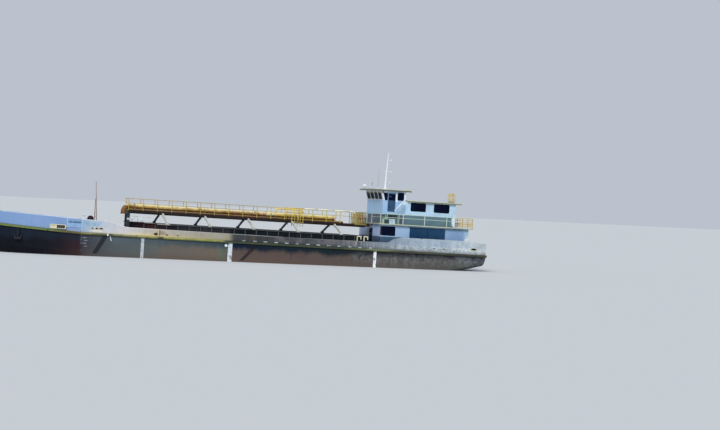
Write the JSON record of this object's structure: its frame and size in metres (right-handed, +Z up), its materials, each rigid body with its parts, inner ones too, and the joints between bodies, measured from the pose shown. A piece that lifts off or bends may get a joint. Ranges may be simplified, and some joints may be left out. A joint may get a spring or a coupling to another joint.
{
  "type": "self-propelled river sand barge, 1:2 scale model",
  "caption": "Self-propelled river sand barge with open hold, pipe gantry and stern deckhouse, afloat at its light waterline; a half-size model",
  "frame": {"origin": "on the waterline amidships, on the centreline", "axes": "+X aft, +Y starboard, +Z up from the deck; the bow points to -X"},
  "size_m": [24.3242, 5.13, 6.1655],
  "materials": {
    "hull_paint": "worn slate paint with rust and river mud",
    "rub_rail_paint": "worn olive-yellow paint",
    "bulwark_paint": "streaked pale blue-grey paint",
    "coaming_steel": "dark rusty steel",
    "gantry_yellow": "worn yellow paint with rust",
    "grey_blue_paint": "grey-blue paint",
    "rusty_steel": "rusty steel",
    "white_paint": "weathered white paint",
    "cream_paint": "weathered cream paint",
    "blue_paint": "blue paint",
    "machine_grey": "grey machine paint",
    "black_paint": "black paint",
    "bronze": "cast bronze"
  },
  "bodies": {
    "vessel": {"hull": "hull_paint", "bulwark_bow": "bulwark_paint", "bulwark_stern": "bulwark_paint", "bulwark_port": "bulwark_paint", "bulwark_starboard": "bulwark_paint", "rub_rail_port": "rub_rail_paint", "rub_rail_starboard": "rub_rail_paint", "hold_coaming": "coaming_steel", "gantry_frame": "gantry_yellow", "gantry_column": "grey_blue_paint", "gantry_end_rail": "gantry_yellow", "gantry_rail_port": "gantry_yellow", "gantry_rail_starboard": "gantry_yellow", "loading_pipe": "gantry_yellow", "pipe_elbow": "rusty_steel", "fore_mast": "grey_blue_paint", "windlass_frame": "rusty_steel", "anchor_port": "rusty_steel", "anchor_starboard": "rusty_steel", "tank_vents_port": "white_paint", "tank_vents_starboard": "white_paint", "lower_wall_front": "white_paint", "lower_wall_aft": "white_paint", "lower_wall_port": "white_paint", "lower_wall_starboard": "white_paint", "engines": "machine_grey", "bridge_deck": "cream_paint", "bridge_rails": "cream_paint", "upper_house_walls": "white_paint", "upper_roof": "cream_paint", "roof_hoops": "gantry_yellow", "wheelhouse_front": "white_paint", "wheelhouse_back": "white_paint", "wheelhouse_side_port": "white_paint", "wheelhouse_side_starboard": "white_paint", "wheelhouse_floor": "machine_grey", "wheelhouse_roof": "cream_paint", "wheelhouse_steps_port": "white_paint", "wheelhouse_steps_starboard": "white_paint", "mast": "white_paint", "helm_console": "black_paint", "helm_chair": "black_paint"},
    "windlass_drum": {"windlass_drum": "rusty_steel"},
    "front_door": {"front_door": "blue_paint"},
    "aft_door": {"aft_door": "blue_paint"},
    "upper_door": {"upper_door": "blue_paint"},
    "searchlight": {"searchlight": "white_paint"},
    "helm_wheel": {"helm_wheel": "black_paint"},
    "engine_door_fore_port": {"engine_door_fore_port": "blue_paint"},
    "engine_door_aft_port": {"engine_door_aft_port": "blue_paint"},
    "wheelhouse_door_port": {"wheelhouse_door_port": "blue_paint"},
    "propeller_port": {"propeller_port": "bronze"},
    "rudder_port": {"rudder_port": "black_paint"},
    "engine_door_fore_starboard": {"engine_door_fore_starboard": "blue_paint"},
    "engine_door_aft_starboard": {"engine_door_aft_starboard": "blue_paint"},
    "wheelhouse_door_starboard": {"wheelhouse_door_starboard": "blue_paint"},
    "propeller_starboard": {"propeller_starboard": "bronze"},
    "rudder_starboard": {"rudder_starboard": "black_paint"}
  },
  "joints": [
    {"name": "windlass_turn", "type": "hinge", "parent": "vessel", "child": "windlass_drum", "pos_m": [-7.8, 0, 1.36], "axis": [0, 1, 0], "continuous": true},
    {"name": "front_door_swing", "type": "hinge", "parent": "vessel", "child": "front_door", "pos_m": [6.0275, -0.075, 1.5], "axis": [0, 0, 1], "range_deg": [-105, 0]},
    {"name": "aft_door_swing", "type": "hinge", "parent": "vessel", "child": "aft_door", "pos_m": [10.5425, 0.225, 1.5], "axis": [0, 0, 1], "range_deg": [0, 105]},
    {"name": "upper_door_swing", "type": "hinge", "parent": "vessel", "child": "upper_door", "pos_m": [9.9725, 0.21, 2.75], "axis": [0, 0, 1], "range_deg": [0, 105]},
    {"name": "searchlight_pan", "type": "hinge", "parent": "vessel", "child": "searchlight", "pos_m": [5.985, 1.3, 3.95], "axis": [0, 0, 1], "range_deg": [-170, 170]},
    {"name": "helm_turn", "type": "hinge", "parent": "vessel", "child": "helm_wheel", "pos_m": [6.61, 0, 3.25], "axis": [1, 0, 0], "continuous": true},
    {"name": "engine_door_fore_port_slide", "type": "slide", "parent": "vessel", "child": "engine_door_fore_port", "axis": [-1, 0, 0], "range_m": [0, 0.85]},
    {"name": "engine_door_aft_port_slide", "type": "slide", "parent": "vessel", "child": "engine_door_aft_port", "axis": [1, 0, 0], "range_m": [0, 0.85]},
    {"name": "wheelhouse_door_port_swing", "type": "hinge", "parent": "vessel", "child": "wheelhouse_door_port", "pos_m": [6.49, -1.4975, 3.25], "axis": [0, 0, 1], "range_deg": [-110, 0]},
    {"name": "propeller_port_turn", "type": "hinge", "parent": "vessel", "child": "propeller_port", "pos_m": [9.8, -1.3, -0.21], "axis": [1, 0, 0], "continuous": true},
    {"name": "rudder_port_turn", "type": "hinge", "parent": "vessel", "child": "rudder_port", "pos_m": [10.3, -1.3, 0], "axis": [0, 0, 1], "range_deg": [-35, 35]},
    {"name": "engine_door_fore_starboard_slide", "type": "slide", "parent": "vessel", "child": "engine_door_fore_starboard", "axis": [-1, 0, 0], "range_m": [0, 0.85]},
    {"name": "engine_door_aft_starboard_slide", "type": "slide", "parent": "vessel", "child": "engine_door_aft_starboard", "axis": [1, 0, 0], "range_m": [0, 0.85]},
    {"name": "wheelhouse_door_starboard_swing", "type": "hinge", "parent": "vessel", "child": "wheelhouse_door_starboard", "pos_m": [6.49, 1.4975, 3.25], "axis": [0, 0, 1], "range_deg": [0, 110]},
    {"name": "propeller_starboard_turn", "type": "hinge", "parent": "vessel", "child": "propeller_starboard", "pos_m": [9.8, 1.3, -0.21], "axis": [1, 0, 0], "continuous": true},
    {"name": "rudder_starboard_turn", "type": "hinge", "parent": "vessel", "child": "rudder_starboard", "pos_m": [10.3, 1.3, 0], "axis": [0, 0, 1], "range_deg": [-35, 35]}
  ]
}
